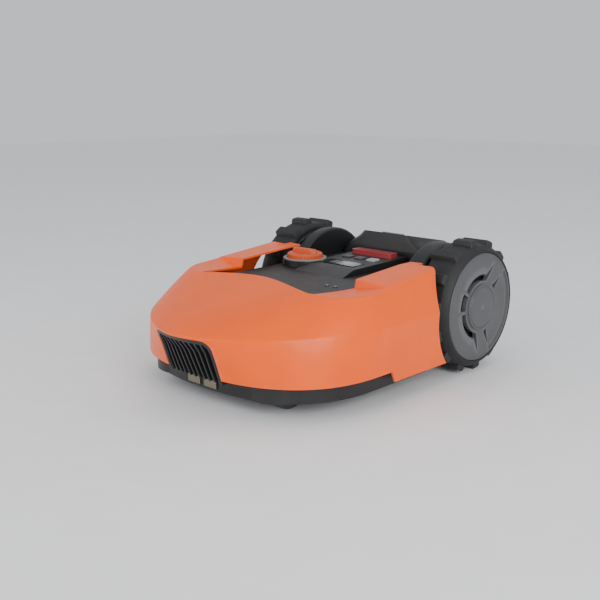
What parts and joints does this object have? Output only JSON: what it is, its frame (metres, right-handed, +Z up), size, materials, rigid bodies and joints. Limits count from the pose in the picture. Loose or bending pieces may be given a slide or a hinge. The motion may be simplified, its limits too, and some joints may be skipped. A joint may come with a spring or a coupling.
{
  "type": "robotic lawn mower",
  "caption": "Low robotic lawn mower with a floating orange shell, big lugged rear drive wheels, front casters, a blade disc underneath and a control console on top.",
  "frame": {"origin": "centre of the bounding box, on the ground under the wheels", "axes": "+X to the left side of the machine, +Y to its rear, so the nose points to -Y, +Z up"},
  "size_m": [0.404, 0.5499, 0.208],
  "materials": {
    "orange_shell": "satin moulded, bright orange",
    "orange_knob": "satin moulded",
    "black_plastic": "fine texture",
    "console_plastic": "satin",
    "cover_plastic": "satin",
    "badge_grey": "satin",
    "display_glass": "clear window",
    "display_panel": "unlit display",
    "stop_red": "satin",
    "component_black": "moulded",
    "key_grey": "soft touch",
    "key_pale": "soft touch",
    "ring_grey": "satin",
    "rubber_parts": "matte",
    "steel": "zinc plated",
    "disc_metal": "stamped",
    "blade_steel": "ground",
    "battery_case": "moulded",
    "circuit_board": "lacquered",
    "contact_metal": "plated",
    "bush_bronze": "sintered",
    "motor_metal": "cast",
    "hub_grey": "fine texture",
    "caster_grey": "fine texture",
    "tyre_rubber": "matte"
  },
  "bodies": {
    "chassis": {"battery_cover": "black_plastic", "battery_pack": "battery_case", "battery_screws": "steel", "caster_bushes": "bush_bronze", "charge_contacts": "contact_metal", "chassis_base": "black_plastic", "chassis_cover": "black_plastic", "chassis_screws": "steel", "chassis_seal": "rubber_parts", "console_panel": "console_plastic", "display_module": "display_panel", "display_window": "display_glass", "drive_housing_left": "cover_plastic", "drive_housing_right": "cover_plastic", "drive_motor_left": "motor_metal", "drive_motor_right": "motor_metal", "guide_rails": "steel", "knob_base": "console_plastic", "knob_ring": "ring_grey", "main_board": "circuit_board", "rain_sensor": "contact_metal", "rear_badge": "badge_grey", "rear_cover": "cover_plastic", "shell_buffers": "rubber_parts", "stop_switch": "component_black", "wheel_bearing_left": "steel", "wheel_bearing_right": "steel"},
    "shell": {"shell": "orange_shell", "front_grille": "black_plastic", "shell_pins": "steel"},
    "wheel_left": {"wheel_hub_left": "hub_grey", "tyre_left": "tyre_rubber", "hub_cap_left": "hub_grey", "drive_shaft_left": "steel"},
    "caster_left": {"caster_fork_left": "black_plastic", "caster_pin_left": "steel"},
    "caster_roller_left": {"caster_wheel_left": "caster_grey"},
    "wheel_right": {"wheel_hub_right": "hub_grey", "tyre_right": "tyre_rubber", "hub_cap_right": "hub_grey", "drive_shaft_right": "steel"},
    "caster_right": {"caster_fork_right": "black_plastic", "caster_pin_right": "steel"},
    "caster_roller_right": {"caster_wheel_right": "caster_grey"},
    "cutter_module": {"cutter_carrier": "cover_plastic", "cutter_motor": "motor_metal"},
    "blade_disc": {"blade_disc": "disc_metal", "cutter_shaft": "steel", "blade_screws": "steel"},
    "blade_1": {"blade_1": "blade_steel"},
    "blade_2": {"blade_2": "blade_steel"},
    "blade_3": {"blade_3": "blade_steel"},
    "height_knob": {"height_knob": "orange_knob", "height_screw": "steel"},
    "stop_button": {"stop_button": "stop_red"},
    "key_home": {"key_home": "key_grey"},
    "key_back": {"key_back": "key_grey"},
    "key_start": {"key_start": "key_pale"}
  },
  "joints": [
    {"name": "shell_float", "type": "slide", "parent": "chassis", "child": "shell", "axis": [0, 1, 0], "range_m": [-0.004, 0.004], "stiffness_N_per_m": 4000},
    {"name": "wheel_left_turn", "type": "hinge", "parent": "chassis", "child": "wheel_left", "pos_m": [0.17, 0.171, 0.104], "axis": [1, 0, 0], "continuous": true},
    {"name": "caster_left_swivel", "type": "hinge", "parent": "chassis", "child": "caster_left", "pos_m": [0.095, -0.163, 0.09], "axis": [0, 0, 1], "continuous": true},
    {"name": "caster_left_roll", "type": "hinge", "parent": "caster_left", "child": "caster_roller_left", "pos_m": [0.095, -0.151, 0.033], "axis": [1, 0, 0], "continuous": true},
    {"name": "wheel_right_turn", "type": "hinge", "parent": "chassis", "child": "wheel_right", "pos_m": [-0.17, 0.171, 0.104], "axis": [1, 0, 0], "continuous": true},
    {"name": "caster_right_swivel", "type": "hinge", "parent": "chassis", "child": "caster_right", "pos_m": [-0.095, -0.163, 0.09], "axis": [0, 0, 1], "continuous": true},
    {"name": "caster_right_roll", "type": "hinge", "parent": "caster_right", "child": "caster_roller_right", "pos_m": [-0.095, -0.151, 0.033], "axis": [1, 0, 0], "continuous": true},
    {"name": "knob_turn", "type": "hinge", "parent": "chassis", "child": "height_knob", "pos_m": [-0.072, 0.063, 0.16], "axis": [0, 0, 1], "range_deg": [0, 300]},
    {"name": "cutter_lift", "type": "slide", "parent": "chassis", "child": "cutter_module", "axis": [0, 0, 1], "range_m": [0, 0.03]},
    {"name": "blade_disc_spin", "type": "hinge", "parent": "cutter_module", "child": "blade_disc", "pos_m": [-0.025, -0.001, 0.036], "axis": [0, 0, 1], "continuous": true},
    {"name": "blade_1_pivot", "type": "hinge", "parent": "blade_disc", "child": "blade_1", "pos_m": [-0.025, 0.061, 0.034], "axis": [0, 0, 1], "continuous": true},
    {"name": "blade_2_pivot", "type": "hinge", "parent": "blade_disc", "child": "blade_2", "pos_m": [-0.07869, -0.032, 0.034], "axis": [0, 0, 1], "continuous": true},
    {"name": "blade_3_pivot", "type": "hinge", "parent": "blade_disc", "child": "blade_3", "pos_m": [0.02869, -0.032, 0.034], "axis": [0, 0, 1], "continuous": true},
    {"name": "stop_press", "type": "slide", "parent": "chassis", "child": "stop_button", "axis": [0, 0, -1], "range_m": [0, 0.004], "stiffness_N_per_m": 1500, "springref_m": -0.001},
    {"name": "key_home_press", "type": "slide", "parent": "chassis", "child": "key_home", "axis": [0, 0, -1], "range_m": [0, 0.001], "stiffness_N_per_m": 800, "springref_m": -0.0005},
    {"name": "key_back_press", "type": "slide", "parent": "chassis", "child": "key_back", "axis": [0, 0, -1], "range_m": [0, 0.001], "stiffness_N_per_m": 800, "springref_m": -0.0005},
    {"name": "key_start_press", "type": "slide", "parent": "chassis", "child": "key_start", "axis": [0, 0, -1], "range_m": [0, 0.001], "stiffness_N_per_m": 800, "springref_m": -0.0005}
  ],
  "couplings": [
    {"joint": "knob_turn", "follows": "cutter_lift", "rad_per_m": 174.53}
  ]
}
